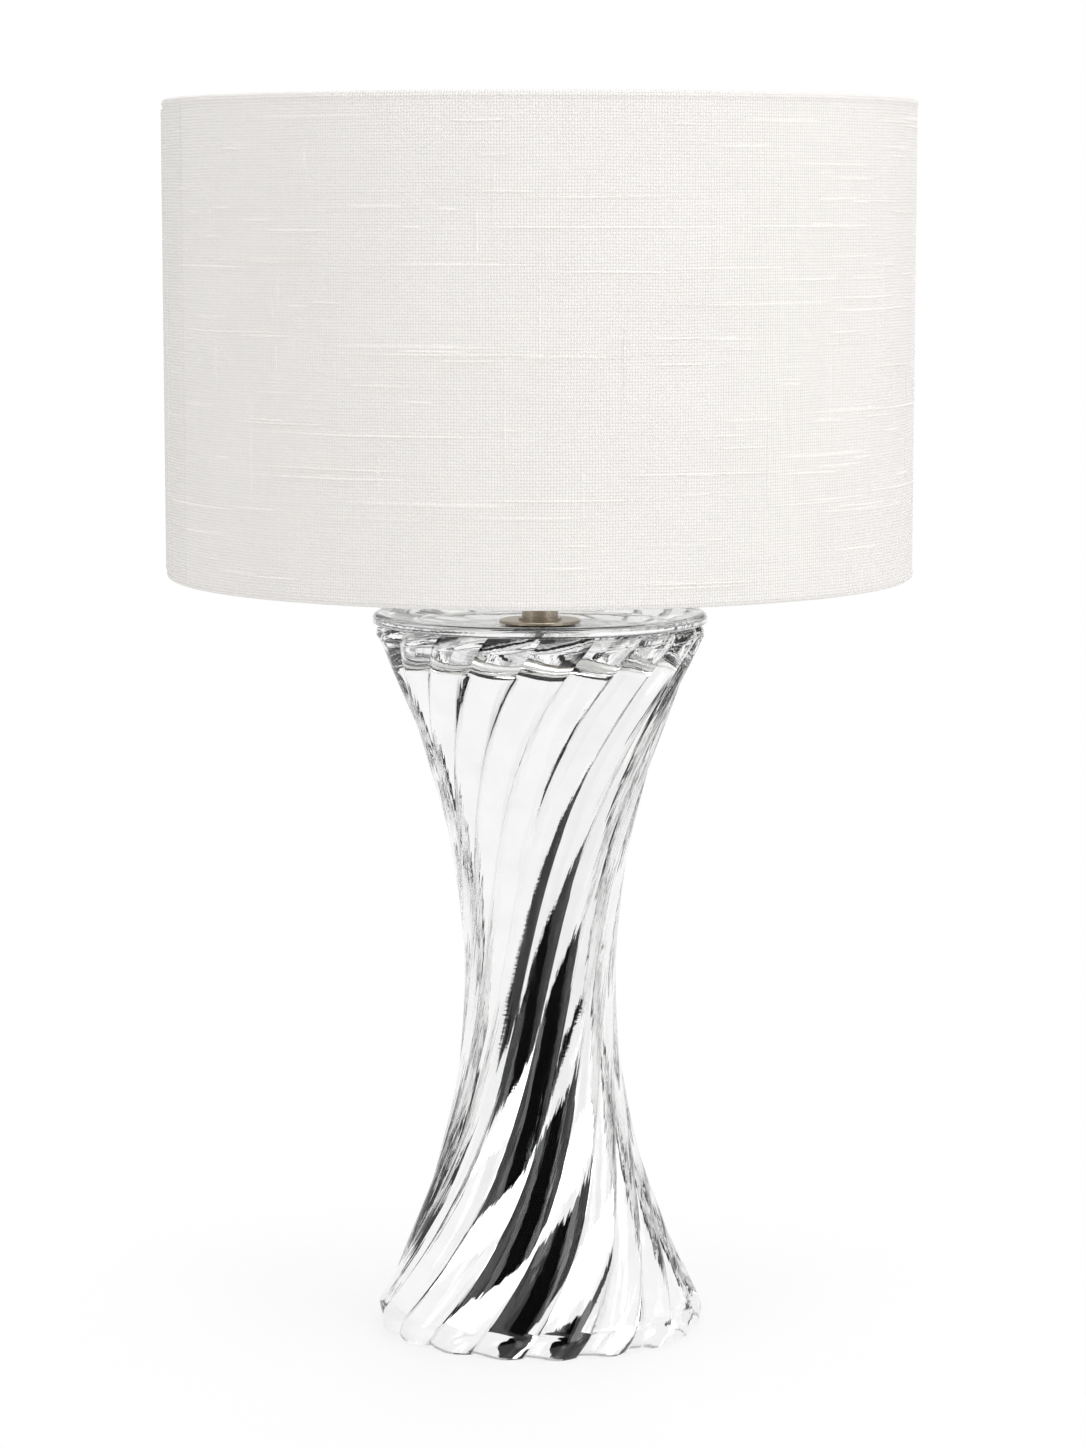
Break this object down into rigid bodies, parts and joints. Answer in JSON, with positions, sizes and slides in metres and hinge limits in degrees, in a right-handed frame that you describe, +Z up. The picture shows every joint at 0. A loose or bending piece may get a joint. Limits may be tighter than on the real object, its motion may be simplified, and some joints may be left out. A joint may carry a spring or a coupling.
{
  "type": "table lamp",
  "caption": "Table lamp: hollow clear glass hourglass with spiral flutes and a silvered lining, bronze neck and lampholder, linen drum shade.",
  "frame": {"origin": "centre of the glass foot, on the surface the lamp stands on", "axes": "+Z up along the lamp's axis, -Y towards the viewer of the picture, +X to the viewer's right"},
  "size_m": [0.4007, 0.4008, 0.6649],
  "materials": {
    "clear_glass": "clear, fire polished",
    "bronze": "brushed antique bronze",
    "silvering": "silvered, mirror bright",
    "rubber": "matt",
    "brass": "plain",
    "steel": "zinc plated",
    "felt": "pressed felt",
    "black_plastic": "matt",
    "porcelain": "glazed porcelain",
    "bulb_cap_metal": "plain",
    "opal_glass": "opal",
    "linen": "slub linen, off-white",
    "liner": "matt styrene laminate",
    "white_wire": "white powder coat"
  },
  "bodies": {
    "base": {"glass_body": "clear_glass", "silver_lining": "silvering", "base_plate": "black_plastic", "base_pad": "felt", "threaded_stud": "steel", "lower_seal": "rubber", "clamp_washer": "steel", "lock_nut": "brass", "felt_washer": "felt", "bronze_washer": "bronze", "neck_collar": "bronze", "cord_bush": "black_plastic", "cord_grip_screw": "steel", "threaded_tube": "steel", "lampholder_cap": "bronze", "porcelain_body": "porcelain", "terminal_screws": "brass", "screw_shell": "brass", "centre_contact": "brass", "lampholder_sleeve": "bronze", "lower_shade_ring": "bronze", "switch_block": "black_plastic"},
    "switch_slider": {"push_bar": "steel", "push_button_left": "bronze", "push_button_right": "bronze"},
    "clamp_ring": {"upper_shade_ring": "bronze"},
    "bulb": {"bulb_contact": "brass", "bulb_insulator": "black_plastic", "bulb_cap": "bulb_cap_metal", "bulb_globe": "opal_glass"},
    "shade": {"shade_cloth": "linen", "shade_liner": "liner", "lower_rolled_edge": "linen", "upper_rolled_edge": "linen", "side_seam": "linen", "lower_wire_ring": "white_wire", "upper_wire_ring": "white_wire", "carrier_ring": "white_wire", "carrier_arm_1": "white_wire", "carrier_arm_2": "white_wire", "carrier_arm_3": "white_wire"}
  },
  "joints": [
    {"name": "shade_turn", "type": "hinge", "parent": "base", "child": "shade", "pos_m": [0, 0, 0.4468], "axis": [0, 0, 1], "continuous": true},
    {"name": "clamp_ring_turn", "type": "hinge", "parent": "base", "child": "clamp_ring", "pos_m": [0, 0, 0.4499], "axis": [0, 0, 1], "range_deg": [0, 720]},
    {"name": "bulb_turn", "type": "hinge", "parent": "base", "child": "bulb", "pos_m": [0, 0, 0.467], "axis": [0, 0, 1], "range_deg": [0, 1080]},
    {"name": "switch_push", "type": "slide", "parent": "base", "child": "switch_slider", "axis": [1, 0, 0], "range_m": [0, 0.006]}
  ]
}
